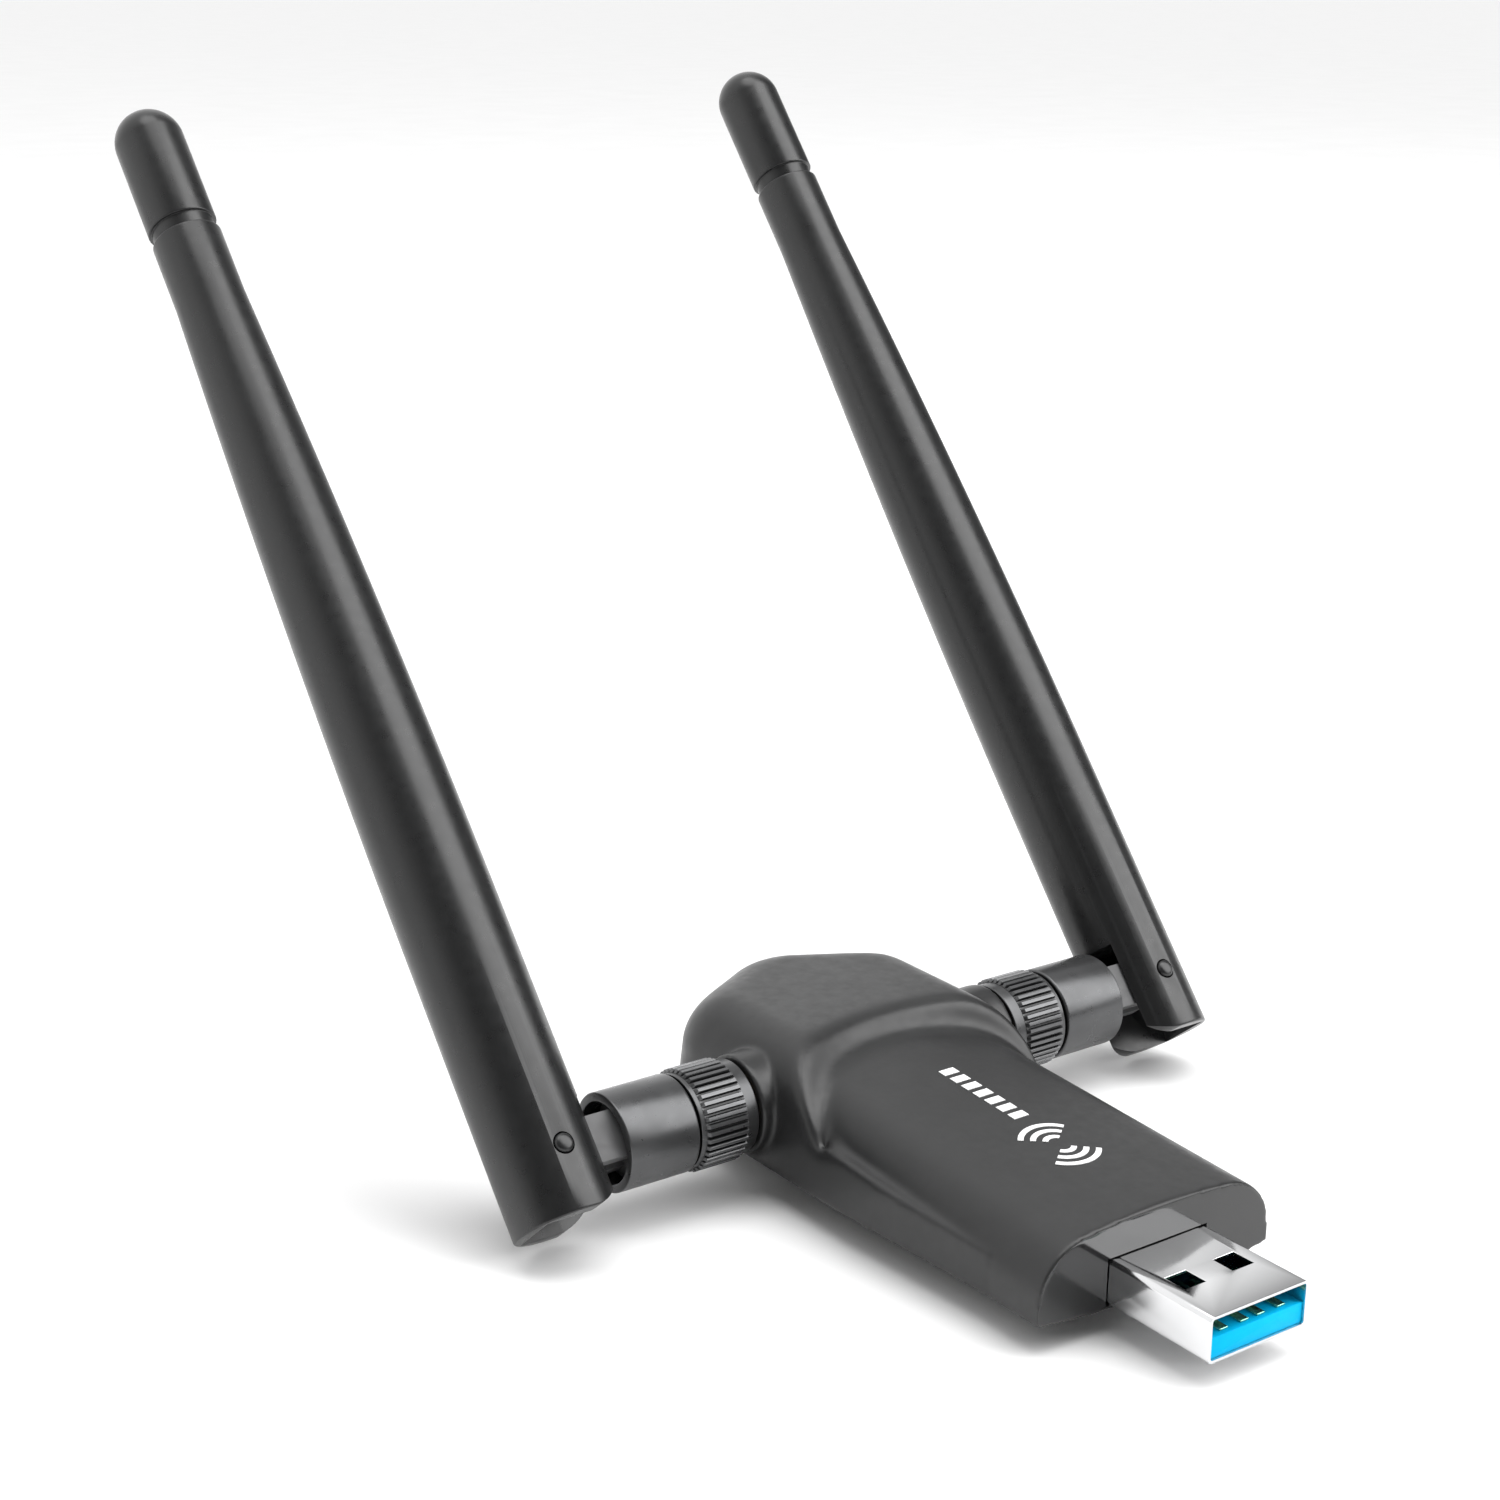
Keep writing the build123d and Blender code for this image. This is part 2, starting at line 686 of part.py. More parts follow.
spigot_radius = whip_tip_radius - whip_wall - spigot_gap
with BuildPart() as cap_build:
    with BuildSketch(Plane.XZ):
        with BuildLine():
            neck_top = whip_tube_end + neck_groove_length
            dome_start = cap_tip - cap_radius
            Line((0, spigot_start), (spigot_radius, spigot_start))
            Line((spigot_radius, spigot_start), (spigot_radius, whip_tube_end))
            Line((spigot_radius, whip_tube_end), (neck_groove_radius, whip_tube_end))
            Line((neck_groove_radius, whip_tube_end), (neck_groove_radius, neck_top))
            Line((neck_groove_radius, neck_top), (cap_radius, neck_top))
            Line((cap_radius, neck_top), (cap_radius, dome_start))
            RadiusArc((cap_radius, dome_start), (0, cap_tip), -cap_radius)
            Line((0, cap_tip), (0, spigot_start))
        make_face()
    revolve(axis=Axis.Z)
cap = cap_build.part - rod_z(radiator_rod_radius, spigot_start - over, radiator_rod_end)
radiator_coax = rod_z(radiator_coax_radius, radiator_coax_start, radiator_coax_end)
radiator_sleeve = rod_z(radiator_sleeve_radius, radiator_sleeve_start, radiator_sleeve_end)
radiator_sleeve -= rod_z(radiator_coax_radius, radiator_sleeve_start - over, radiator_sleeve_end + over)
radiator_rod = rod_z(radiator_rod_radius, radiator_coax_end, radiator_rod_end)

fixed_pieces = {
    "antenna_jack": jack,
    "jack_insulator": jack_insulator,
    "jack_pin": jack_pin,
    "jack_nut": jack_nut,
    "coax_plug": coax_plug,
    "coax_pigtail": pigtail,
    "ferrule": ferrule,
    "socket_pin": socket_pin,
    "plug_insulator": plug_insulator,
    "antenna_lead": antenna_lead,
    "swivel_ring": swivel_ring,
    "knurled_collar": collar,
    "swivel_sleeve": sleeve,
}
leaning_pieces = {
    "hinge_fork": fork,
    "whip_tube": whip,
    "whip_cap": cap,
    "pivot_pins": pins,
    "radiator_coax": radiator_coax,
    "radiator_sleeve": radiator_sleeve,
    "radiator_rod": radiator_rod,
}
for name, shape in fixed_pieces.items():
    save(shape, f"right_{name}")
    save(mirrored(shape), f"left_{name}")
for name, shape in leaning_pieces.items():
    save(leaning(shape, right_antenna_lean_deg), f"right_{name}")
    save(mirrored(leaning(shape, left_antenna_lean_deg)), f"left_{name}")

# ---- sign printed on the top of the front part
sign_low = front_top / 2
wedge_x = far * sin(radians(arc_half_angle_deg))
wedge_y = far * cos(radians(arc_half_angle_deg))
wedge = make_face(Polyline((0, 0), (-wedge_x, wedge_y), (wedge_x, wedge_y), close=True))
sign = Part()
for i in range(arcs_per_group):
    radius = arc_first_radius + arc_step * i
    ring = Circle(radius + arc_width / 2) - Circle(radius - arc_width / 2)
    arc = extrude(Pos(0, arc_group_gap / 2, 0) * (ring & wedge), amount=block_top)
    sign += Pos(sign_x, sign_y, sign_low) * arc
    sign += Pos(sign_x, sign_y, sign_low) * Rot(0, 0, 180) * arc
for i in range(dashes):
    y = dash_first_y + dash_pitch * i
    sign += box(dash_low_x, dash_high_x, y, y + dash_thickness, sign_low, block_top)
save((sign & front_form(-ink_thickness, -over)) - outer, "printed_sign")
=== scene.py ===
import json
import math

import bmesh
import bpy
import numpy as np
from mathutils import Matrix, Vector


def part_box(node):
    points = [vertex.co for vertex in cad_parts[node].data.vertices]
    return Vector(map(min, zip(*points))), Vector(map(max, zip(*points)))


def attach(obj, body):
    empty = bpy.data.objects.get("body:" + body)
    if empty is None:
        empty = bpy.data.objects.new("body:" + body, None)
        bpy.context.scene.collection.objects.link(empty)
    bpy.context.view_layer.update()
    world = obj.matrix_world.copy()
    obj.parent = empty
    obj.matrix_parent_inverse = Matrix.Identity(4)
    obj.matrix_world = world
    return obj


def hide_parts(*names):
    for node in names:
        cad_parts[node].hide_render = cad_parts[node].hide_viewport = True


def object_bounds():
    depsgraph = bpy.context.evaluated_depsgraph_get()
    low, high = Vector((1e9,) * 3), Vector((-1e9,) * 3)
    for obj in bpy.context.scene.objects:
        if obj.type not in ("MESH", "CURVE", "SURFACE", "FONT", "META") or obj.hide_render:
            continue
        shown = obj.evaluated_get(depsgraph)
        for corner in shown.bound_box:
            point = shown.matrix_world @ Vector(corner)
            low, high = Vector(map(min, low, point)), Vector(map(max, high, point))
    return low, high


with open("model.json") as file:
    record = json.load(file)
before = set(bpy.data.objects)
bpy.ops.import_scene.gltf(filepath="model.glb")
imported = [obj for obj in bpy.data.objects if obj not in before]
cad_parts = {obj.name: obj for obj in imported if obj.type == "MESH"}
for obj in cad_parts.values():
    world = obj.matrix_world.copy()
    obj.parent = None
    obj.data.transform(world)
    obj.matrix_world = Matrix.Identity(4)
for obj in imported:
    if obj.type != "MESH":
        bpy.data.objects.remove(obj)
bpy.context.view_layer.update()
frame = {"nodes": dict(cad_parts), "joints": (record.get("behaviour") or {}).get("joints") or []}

MM = 0.001
nodes = frame["nodes"]
joints = {joint["name"]: joint for joint in frame["joints"]}
SIDES = ("left", "right")

# ---- camera, as a pinhole with a 36 mm sensor
CAMERA_PLACE = (-154.23, -149.31, 113.16)
CAMERA_AZIMUTH = -36.006
CAMERA_ELEVATION = 17.152
CAMERA_ROLL = 0.612
CAMERA_LENS = 62.97
SENSOR_WIDTH = 36

# ---- how far a cutter reaches past what it cuts, in mm
CUT_PAST = 1

# ---- housing, in mm
VOXEL = 0.2
PLUG_POCKET = (6.1, 6.5, 2.35)
FILLER_GROWTH = 0.4
BOSS_START = 12.4
NUT_RECESS_START = 14.6
NUT_RECESS_RADIUS = 4.2
JACK_HOLE_RADIUS = 3.235
JACK_HOLE_DEPTH = 3
FRONT_FACE_DEPTH = 0.06
FRONT_FACE_NORMAL = -0.97
STEP_CENTRE_Y = 40.0
STEP_SIDE_Y = 35.5
BLOCK_HALF_WIDTH = 15.2
STEP_SLOPE = 0.55
STEP_TOP = 10.5
STEP_SOFTNESS = 2.9
STEP_FADE_START_Z = 1.0
STEP_FADE_HEIGHT = 2.0
SKIRT_Z = 3.0
SKIRT_HALF_HEIGHT = 1.6
SKIRT_INNER_X = 11.5
SKIRT_FADE_X = 1.5
SKIRT_CENTRE_Y = 19.0
SKIRT_HALF_LENGTH = 17.0

# ---- evening of the housing's voxel mesh: how far a point moves to its neighbours' mean, and how many times
EVENING_SHARE = 0.5
STEP_ROUNDS = 170
SKIRT_ROUNDS = 16
BASE_ROUNDS = 6

# ---- antenna connector, in mm: distances from the housing's centre plane
COLLAR_START = 16.6
KNURL_START = 17.9
KNURL_END = 22.8
COLLAR_END = 23.3
COLLAR_LIP = 22.65
COLLAR_BORE = 3.25
COLLAR_RING_RADIUS = 4.75
KNURL_RADIUS = 5.15
KNURL_DEPTH = 0.38
KNURL_TEETH = 42
KNURL_MARGIN = 0.02
KNURL_CHAMFER = 0.22
GROOVE_OFFSET = -0.1
GROOVE_STEEPNESS = 1.7
POINTS_PER_TOOTH = 14
NECK_HOLE = 2.66
SLEEVE_START = 23.6
SLEEVE_END = 31.5
SLEEVE_RADIUS = 4.92
SLEEVE_BORE = 4.05
SLEEVE_WEB = 3.3

# ---- whip, in mm: distances along it from the pivot
WHIP_LOW = -6.4
WHIP_BASE_RADIUS = 5.26
WHIP_TIP_RADIUS = 3.72
WHIP_STRAIGHT = 22.0
WHIP_TAPER_END = 97.0
WHIP_TAPER_HOLD = 0.48
WHIP_END = 104.9
WHIP_WALL = 1.25
WHIP_CAVITY = 8.2
LEAD_HOLE = 0.95
CHANNEL_HALF_WIDTH = 3.3
CHANNEL_TOP = 4.6
CHANNEL_X = 3.56
EAR_SWEEP = 6.5
PIN_RADIUS = 0.95
PIN_RISE = 0.35
PIN_HOLE_GAP = 0.14
PIN_SHOULDER_DROP = 0.04
PIN_DOME = ((0.95, 0.24), (0.82, 0.13), (0.6, 0.05), (0.32, 0.01))  # share of the radius, drop below the head
NECK_RADIUS = 3.35
NECK_LENGTH = 1.4
CAP_RADIUS = 3.7
CAP_TIP = 121.0
SPIGOT_START = 98.5
SPIGOT_RADIUS = 2.44
ROD_HOLE = 0.55
ROD_HOLE_DEPTH = 3

# ---- light: the world's dim and bright strengths, a wide sun overhead, and the key softbox
WORLD_BRIGHT_SIDE = (-0.35, 0.9, 0.2)
WORLD_DIM = 0.1
WORLD_BRIGHT = 1.3
WORLD_DIM_TO = 0.05
WORLD_BRIGHT_FROM = 0.55
SUN_POWER = 1.3
SUN_ANGLE = 40
KEY_DIRECTION = (0.56, -0.50, 0.66)
KEY_DISTANCE = 0.9
KEY_SIZE = (0.70, 1.15)
KEY_POWER = 12.0

# ---- floor, in metres
FLOOR_SIZE = 20.0
FLOOR_GAP = 0.0005


# ======== meshes
def object_from(bm, name):
    """New object from a bmesh, which it frees."""
    bmesh.ops.recalc_face_normals(bm, faces=bm.faces)
    mesh = bpy.data.meshes.new(name)
    bm.to_mesh(mesh)
    bm.free()
    piece = bpy.data.objects.new(name, mesh)
    bpy.context.scene.collection.objects.link(piece)
    return piece


def applied(piece, kind, **settings):
    """Adds a modifier, applies it and gives the piece back."""
    modifier = piece.modifiers.new("step", kind)
    for key, value in settings.items():
        setattr(modifier, key, value)
    graph = bpy.context.evaluated_depsgraph_get()
    mesh = bpy.data.meshes.new_from_object(piece.evaluated_get(graph))
    piece.modifiers.clear()
    piece.data = mesh
    return piece


def cut(piece, *cutters):
    """Takes the cutters' shapes out of the piece."""
    for cutter in cutters:
        applied(piece, "BOOLEAN", operation="DIFFERENCE", solver="MANIFOLD", object=cutter)
        bpy.data.objects.remove(cutter)
    return piece


def add_box(bm, low, high):
    low, high = Vector(low), Vector(high)
    place = Matrix.Translation((low + high) / 2) @ Matrix.Diagonal((*(high - low), 1))
    bmesh.ops.create_cube(bm, size=1, matrix=place)


def add_rod(bm, radius, start, end, turn, sides=96):
    """Capped rod along the Z axis of the placing matrix turn, from start to end."""
    place = turn @ Matrix.Translation((0, 0, (start + end) / 2))
    bmesh.ops.create_cone(
        bm, cap_ends=True, segments=sides, radius1=radius, radius2=radius,
        depth=abs(end - start), matrix=place,
    )


def rounded(points, radius, steps=3):
    """The closed outline with its corners rounded; a point's third value is its corner's own radius."""
    outline = []
    count = len(points)
    for i, point in enumerate(points):
        here = Vector(point[:2])
        own = point[2] if len(point) > 2 else radius
        before = Vector(points[i - 1][:2]) - here
        after = Vector(points[(i + 1) % count][:2]) - here
        turn = before.angle(after)
        if own == 0 or turn > math.radians(176):
            outline.append(here)
            continue
        reach = min(own / math.tan(turn / 2), 0.45 * before.length, 0.45 * after.length)
        a = here + before.normalized() * reach
        b = here + after.normalized() * reach
        for k in range(steps + 1):
            t = k / steps
            outline.append((1 - t) ** 2 * a + 2 * t * (1 - t) * here + t**2 * b)
    return outline


def turned(outline, sides, tooth=None):
    """Solid of revolution about Z from a closed outline of (radius, height).

    tooth(angle, radius, height) gives how much the radius is lowered there."""
    bm = bmesh.new()
    rings = []
    for radius, height in outline:
        if radius < 1e-6:
            rings.append([bm.verts.new((0, 0, height))])
            continue
        ring = []
        for k in range(sides):
            angle = 2 * math.pi * k / sides
            r = radius - (tooth(angle, radius, height) if tooth else 0)
            ring.append(bm.verts.new((r * math.cos(angle), r * math.sin(angle), height)))
        rings.append(ring)
    for i, ring in enumerate(rings):
        other = rings[(i + 1) % len(rings)]
        if len(ring) == 1 and len(other) == 1:
            continue
        for k in range(sides):
            corners = [
                ring[k % len(ring)], ring[(k + 1) % len(ring)],
                other[(k + 1) % len(other)], other[k % len(other)],
            ]
            corners = [c for j, c in enumerate(corners) if c not in corners[:j]]
            bm.faces.new(corners)
    return bm


def placed(piece, matrix):
    piece.data.transform(Matrix.Scale(MM, 4) @ matrix)
    return piece


def painted(piece, *materials):
    """Gives the piece these materials, the first of them everywhere."""
    piece.data.materials.clear()
    for material in materials:
        piece.data.materials.append(material)
    for face in piece.data.polygons:
        face.material_index = 0


def smooth_shaded(piece, angle=32):
    piece.data.shade_smooth()
    piece.data.set_sharp_from_angle(angle=math.radians(angle))
    return piece


def finished(piece, body, slot, replaced, *materials, angle=32):
    """Shading, materials, body and the CAD node that the piece stands for; slot is not used."""
    smooth_shaded(piece, angle)
    if materials:
        painted(piece, *materials)
    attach(piece, body)
    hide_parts(replaced)
    return piece


def refined(node, name, body, slot, material, width, segments=2):
    """Copy of a CAD node with its flat faces merged and its edges broken."""
    bm = bmesh.new()
    bm.from_mesh(nodes[node].data)
    bmesh.ops.remove_doubles(bm, verts=bm.verts, dist=1e-7)
    bmesh.ops.dissolve_limit(bm, angle_limit=math.radians(1), verts=bm.verts, edges=bm.edges)
    piece = object_from(bm, name)
    applied(
        piece, "BEVEL", width=width * MM, segments=segments, limit_method="ANGLE",
        angle_limit=math.radians(40), use_clamp_overlap=True,
    )
    return finished(piece, body, slot, node, material)


# ======== materials
def new_material(name):
    material = bpy.data.materials.new(name)
    material.use_nodes = True
    tree = material.node_tree
    shader = tree.nodes["Principled BSDF"]
    place = tree.nodes.new("ShaderNodeTexCoord").outputs["Object"]
    return material, tree, shader, place


def noise(tree, place, scale, detail=3.0, stretch=(1, 1, 1)):
    mapping = tree.nodes.new("ShaderNodeMapping")
    mapping.inputs["Scale"].default_value = stretch
    tree.links.new(place, mapping.inputs["Vector"])
    texture = tree.nodes.new("ShaderNodeTexNoise")
    texture.inputs["Scale"].default_value = scale
    texture.inputs["Detail"].default_value = detail
    tree.links.new(mapping.outputs["Vector"], texture.inputs["Vector"])
    return texture.outputs["Fac"]


def ranged(tree, value, low, high, start=0.3, end=0.7):
    node = tree.nodes.new("ShaderNodeMapRange")
    node.inputs["From Min"].default_value = start
    node.inputs["From Max"].default_value = end
    node.inputs["To Min"].default_value = low
    node.inputs["To Max"].default_value = high
    tree.links.new(value, node.inputs["Value"])
    return node.outputs["Result"]


def mixed(tree, share, first, second):
    node = tree.nodes.new("ShaderNodeMix")
    node.data_type = "RGBA"
    tree.links.new(share, node.inputs["Factor"])
    for socket, colour in (("A", first), ("B", second)):
        target = [i for i in node.inputs if i.name == socket and i.type == "RGBA"][0]
        if isinstance(colour, tuple):
            target.default_value = (*colour, 1)
        else:
            tree.links.new(colour, target)
    return [o for o in node.outputs if o.type == "RGBA"][0]


def bumped(tree, shader, height, strength, depth):
    node = tree.nodes.new("ShaderNodeBump")
    node.inputs["Strength"].default_value = strength
    node.inputs["Distance"].default_value = depth
    tree.links.new(height, node.inputs["Height"])
    tree.links.new(node.outputs["Normal"], shader.inputs["Normal"])


def painted_shade_mask(tree, reach):
    """Mask for painted shade: 0 in the bottom of narrow grooves, 1 on open faces."""
    node = tree.nodes.new("ShaderNodeAmbientOcclusion")
    node.samples = 6
    node.inputs["Distance"].default_value = reach
    return ranged(tree, node.outputs["AO"], 0, 1, 0.45, 0.8)


def scaled(colour, factor):
    return tuple(min(1.0, c * factor) for c in colour)


def surface(
    name, colour, roughness, metallic=0.0, specular=0.5, grain=7000, grain_strength=0.25, grain_depth=0.00001,
    variation=0.1, wear=1.5, stretch=(1, 1, 1), painted_shade_reach=0.0,
):
    """Base material: blotchy colour and roughness, lighter worn edges, painted shade in hollows and a fine
    grain.
    """
    material, tree, shader, place = new_material(name)
    blotch = noise(tree, place, 260)
    shade = mixed(
        tree, ranged(tree, blotch, 0, 1), scaled(colour, 1 - variation), scaled(colour, 1 + variation)
    )
    edge = ranged(tree, tree.nodes.new("ShaderNodeNewGeometry").outputs["Pointiness"], 0, 1, 0.52, 0.62)
    shade = mixed(tree, edge, shade, scaled(colour, wear))
    # painted shade: ambient occlusion darkens the colour to 12 % of itself in narrow grooves and hollows
    if painted_shade_reach:
        shade = mixed(tree, painted_shade_mask(tree, painted_shade_reach), scaled(colour, 0.12), shade)
    tree.links.new(shade, shader.inputs["Base Color"])
    fine = noise(tree, place, 900, 4.0)
    tree.links.new(ranged(tree, fine, roughness * 0.88, roughness * 1.12), shader.inputs["Roughness"])
    bumped(tree, shader, noise(tree, place, grain, 2.0, stretch), grain_strength, grain_depth)
    shader.inputs["Metallic"].default_value = metallic
    shader.inputs["Specular IOR Level"].default_value = specular
    return material


def blue_with_painted_shade():
    """Clear blue at the tongue's nose, with painted shade: darker with depth inside the shell."""
    material, tree, shader, place = new_material("plug_blue_moulding")
    split = tree.nodes.new("ShaderNodeSeparateXYZ")
    tree.links.new(place, split.inputs["Vector"])
    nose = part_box("usb_plug_insulator")[0].y
    # painted shade: over the first 4 mm inside the shell the blue is mixed towards near black (0.0, 0.006,
    # 0.014)
    depth = ranged(tree, split.outputs["Y"], 0, 1, nose + 0.0002, nose + 0.0042)
    bright = mixed(tree, ranged(tree, noise(tree, place, 900), 0, 1), (0.0, 0.47, 0.84), (0.0, 0.51, 0.90))
    tree.links.new(mixed(tree, depth, bright, (0.0, 0.006, 0.014)), shader.inputs["Base Color"])
    fine = noise(tree, place, 2500, 4.0)
    tree.links.new(ranged(tree, fine, 0.4, 0.5), shader.inputs["Roughness"])
    shader.inputs["Specular IOR Level"].default_value = 0.06
    bumped(tree, shader, noise(tree, place, 9000), 0.15, 0.00001)
    return material


def circuit_mask():
    """Green solder mask with faint tracks under it."""
    material, tree, shader, place = new_material("solder_mask")
    tracks = tree.nodes.new("ShaderNodeTexBrick")
    tracks.inputs["Scale"].default_value = 420
    tracks.inputs["Mortar Size"].default_value = 0.06
    tree.links.new(place, tracks.inputs["Vector"])
    shade = mixed(tree, tracks.outputs["Fac"], (0.012, 0.09, 0.04), (0.03, 0.17, 0.07))
    tree.links.new(shade, shader.inputs["Base Color"])
    tree.links.new(ranged(tree, noise(tree, place, 1500), 0.25, 0.4), shader.inputs["Roughness"])
    bumped(tree, shader, tracks.outputs["Fac"], 0.3, 0.00003)
    return material


housing_plastic = surface("housing_satin", (0.016, 0.0162, 0.0166), 0.38, specular=0.46, grain_strength=0.2)
housing_polished = surface(
    "housing_polished", (0.018, 0.0182, 0.0186), 0.10, specular=0.62, grain_strength=0.03, wear=1.2
)
antenna_plastic = surface(
    "antenna_satin", (0.012, 0.0122, 0.0125), 0.30, specular=0.5, grain_strength=0.05, variation=0.06
)
rubbed_grey = surface("channel_grey", (0.11, 0.11, 0.112), 0.5, specular=0.4, grain_strength=0.3)
# gunmetal plate, with painted shade in its knurl grooves and hollows
gunmetal = surface(
    "gunmetal_plate", (0.085, 0.086, 0.088), 0.30, metallic=0.7, grain=900, grain_strength=0.1,
    grain_depth=0.000008, stretch=(14, 0.5, 0.5), wear=1.8, painted_shade_reach=0.0006,
)
plug_steel = surface(
    "nickel_plate", (0.67, 0.673, 0.68), 0.14, metallic=1.0, grain=500, grain_strength=0.06,
    stretch=(12, 0.4, 1), variation=0.02, wear=1.05,
)
contact_metal = surface(
    "contact_plate", (0.20, 0.42, 0.30), 0.25, metallic=1.0, grain=1500, grain_strength=0.1, wear=2.2
)
gold = surface("gold_flash", (0.85, 0.60, 0.22), 0.25, metallic=1.0, grain=2500, grain_strength=0.1, wear=1.1)
tin = surface("tinned_sheet", (0.62, 0.63, 0.64), 0.32, metallic=1.0, grain=700, stretch=(8, 1, 1), wear=1.15)
black_epoxy = surface("moulding_compound", (0.022, 0.022, 0.024), 0.55, grain_strength=0.5, grain=9000)
ceramic = surface("fired_ceramic", (0.42, 0.30, 0.19), 0.5, grain_strength=0.3)
brass = surface(
    "turned_brass", (0.62, 0.43, 0.18), 0.28, metallic=1.0, grain=900, stretch=(14, 0.5, 0.5), wear=1.1
)
ptfe = surface("white_insulator", (0.82, 0.82, 0.79), 0.45, variation=0.03, wear=1.02)
coax_jacket = surface("lead_jacket", (0.02, 0.02, 0.021), 0.45, grain_strength=0.2)
ink = surface("white_ink", (0.86, 0.86, 0.86), 0.5, variation=0.03, grain_strength=0.3, wear=1.0)

NODE_MATERIALS = {
    "bottom_cover": housing_plastic,
    "circuit_board": circuit_mask(),
    "shield_can": tin,
    "radio_chip": black_epoxy,
    "memory_chip": black_epoxy,
    "crystal": tin,
    "power_inductor": black_epoxy,
    "chip_capacitors": ceramic,
    "coax_sockets": gold,
    "superspeed_contacts": contact_metal,
    "printed_sign": ink,
    "antenna_jack": brass,
    "jack_insulator": ptfe,
    "jack_pin": gold,
    "jack_nut": gunmetal,
    "coax_plug": gold,
    "coax_pigtail": coax_jacket,
    "ferrule": brass,
    "socket_pin": gold,
    "plug_insulator": ptfe,
    "antenna_lead": coax_jacket,
    "swivel_ring": brass,
    "radiator_coax": coax_jacket,
    "radiator_sleeve": brass,
    "radiator_rod": brass,
}
for node_name, node in nodes.items():
    plain = node_name.split("_", 1)[1] if node_name.startswith(SIDES) else node_name
    if plain in NODE_MATERIALS:
        node.data.materials.clear()
        node.data.materials.append(NODE_MATERIALS[plain])


# ======== housing
def connector_axis():
    return Vector(joints["right_swivel"]["pos_m"]) / MM


def along_x(side):
    """Matrix whose Z axis is the connector's axis, pointing outwards on that side."""
    sign = 1 if side == "right" else -1
    axis = connector_axis()
    return Matrix.Translation((0, axis.y, axis.z)) @ Matrix.Rotation(sign * math.pi / 2, 4, "Y")


def evened(points, links, degrees, share, rounds):
    """Moves each point towards the mean of its neighbours, by its own share, a number of times."""
    for _ in range(rounds):
        total = np.empty_like(points)
        for k in range(3):
            total[:, k] = np.bincount(links[:, 0], points[links[:, 1], k], len(points))
            total[:, k] += np.bincount(links[:, 1], points[links[:, 0], k], len(points))
        points = points + share[:, None] * (total / degrees[:, None] - points)
    return points


def soften(mesh):
    """Rounds the voxel mesh: a little everywhere, more along the skirt, most in the step's cove."""
    points = np.empty(len(mesh.vertices) * 3)
    mesh.vertices.foreach_get("co", points)
    points = points.reshape(-1, 3)
    links = np.empty(len(mesh.edges) * 2, int)
    mesh.edges.foreach_get("vertices", links)
    links = links.reshape(-1, 2)
    degrees = np.bincount(links.ravel(), minlength=len(points)).astype(float)
    everywhere = np.full(len(points), EVENING_SHARE)
    points = evened(points, links, degrees, everywhere, BASE_ROUNDS)
    x, y, z = points.T
    sag = STEP_CENTRE_Y - STEP_SIDE_Y
    radius = (BLOCK_HALF_WIDTH**2 + sag**2) / (2 * sag)
    step_y = STEP_CENTRE_Y - radius + np.sqrt(radius**2 - np.clip(x, -radius, radius) ** 2)
    step_y -= STEP_SLOPE * (STEP_TOP - z)
    near_step = np.exp(-(((y - step_y) / STEP_SOFTNESS) ** 2))
    near_step *= np.clip((z - STEP_FADE_START_Z) / STEP_FADE_HEIGHT, 0, 1)
    points = evened(points, links, degrees, EVENING_SHARE * near_step, STEP_ROUNDS)
    on_skirt = np.clip(1 - np.abs(z - SKIRT_Z) / SKIRT_HALF_HEIGHT, 0, 1)
    on_skirt *= np.clip((np.abs(x) - SKIRT_INNER_X) / SKIRT_FADE_X, 0, 1)
    on_skirt *= np.clip(1 - np.abs(y - SKIRT_CENTRE_Y) / SKIRT_HALF_LENGTH, 0, 1) ** 0.5
    points = evened(points, links, degrees, EVENING_SHARE * on_skirt, SKIRT_ROUNDS)
    mesh.vertices.foreach_set("co", points.ravel())
    mesh.update()


def make_housing():
    """The CAD housing with its pocket and jack holes filled, remeshed, softened and cut open again."""
    bm = bmesh.new()
    bm.from_mesh(nodes["upper_housing"].data)
    bmesh.ops.transform(bm, matrix=Matrix.Scale(1 / MM, 4), verts=bm.verts)
    bmesh.ops.remove_doubles(bm, verts=bm.verts, dist=1e-4)
    x, y, z = PLUG_POCKET
    filler_x, filler_z = x + FILLER_GROWTH, z + FILLER_GROWTH
    add_box(bm, (-filler_x, 0, -filler_z), (filler_x, y - FILLER_GROWTH, filler_z))
    boss_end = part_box("upper_housing")[1].x / MM
    for side in SIDES:
        add_rod(bm, NUT_RECESS_RADIUS + FILLER_GROWTH, BOSS_START, boss_end, along_x(side))
    shell = object_from(bm, "housing_shell")
    applied(shell, "REMESH", mode="VOXEL", voxel_size=VOXEL, adaptivity=0)
    soften(shell.data)
    cutter = bmesh.new()
    add_box(cutter, (-x, -CUT_PAST, -z), (x, y, z))
    cut(shell, object_from(cutter, "pocket_cutter"))
    for side in SIDES:
        holes = ((NUT_RECESS_RADIUS, NUT_RECESS_START), (JACK_HOLE_RADIUS, BOSS_START - JACK_HOLE_DEPTH))
        for radius, start in holes:
            cutter = bmesh.new()
            add_rod(cutter, radius, start, boss_end + CUT_PAST, along_x(side))
            cut(shell, object_from(cutter, "jack_cutter"))
    placed(shell, Matrix.Identity(4))
    painted(shell, housing_plastic, housing_polished)
    for face in shell.data.polygons:
        if face.center.y < FRONT_FACE_DEPTH * MM and face.normal.y < FRONT_FACE_NORMAL:
            face.material_index = 1
    return finished(shell, "adapter", "housing_plastic", "upper_housing", angle=40)


